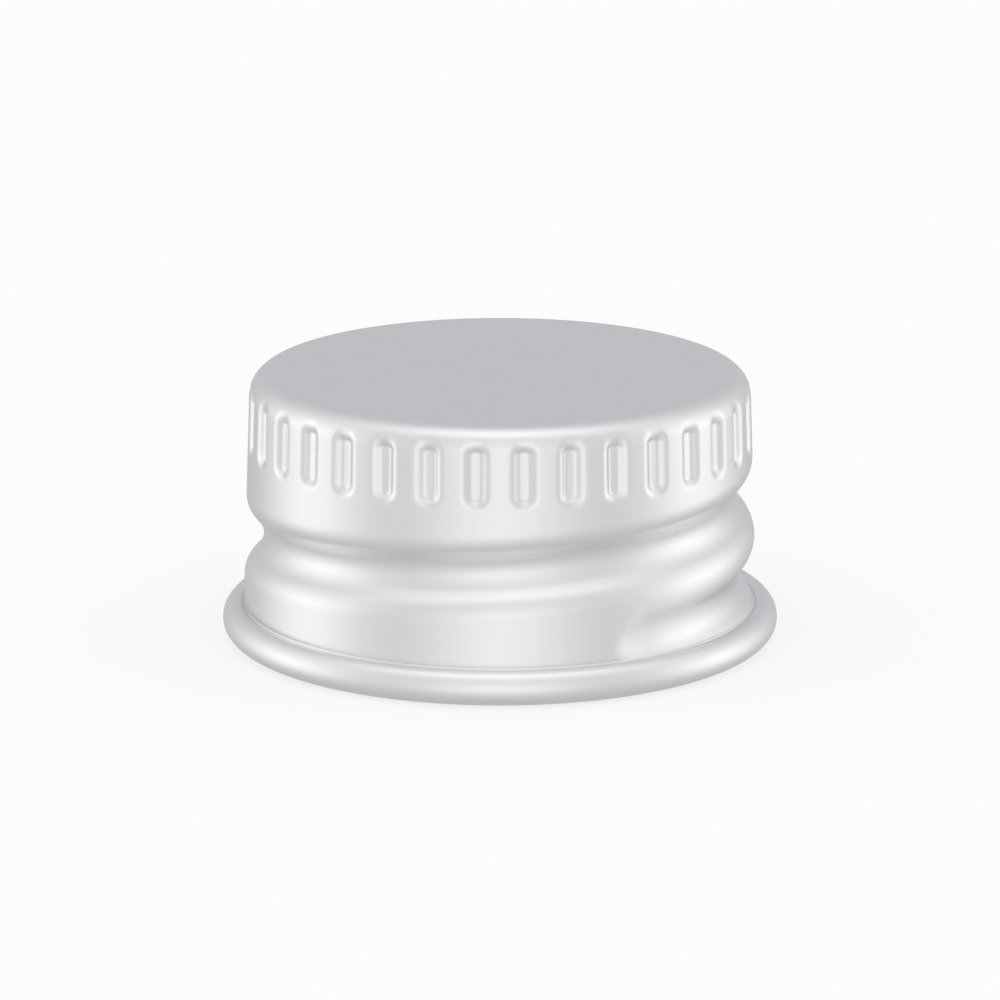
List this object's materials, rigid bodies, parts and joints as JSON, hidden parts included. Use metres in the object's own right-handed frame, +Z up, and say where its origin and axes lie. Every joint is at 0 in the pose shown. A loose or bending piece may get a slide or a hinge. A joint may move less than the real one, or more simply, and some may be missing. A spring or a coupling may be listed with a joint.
{
  "type": "screw bottle cap",
  "caption": "Satin aluminium screw cap: flat top with a rounded shoulder, knurled skirt, rolled screw thread, curled lower edge and a foam sealing liner inside.",
  "frame": {"origin": "centre of the ring on which the curled edge rests, mouth down", "axes": "+Z up along the cap's axis, out of the top; -Y towards the picture's viewer"},
  "size_m": [0.0314, 0.0314, 0.0153],
  "materials": {
    "satin_aluminium": "satin rolled sheet",
    "liner_foam": "matte foam"
  },
  "bodies": {
    "root": {"cap_shell": "satin_aluminium", "sealing_liner": "liner_foam"}
  },
  "joints": []
}
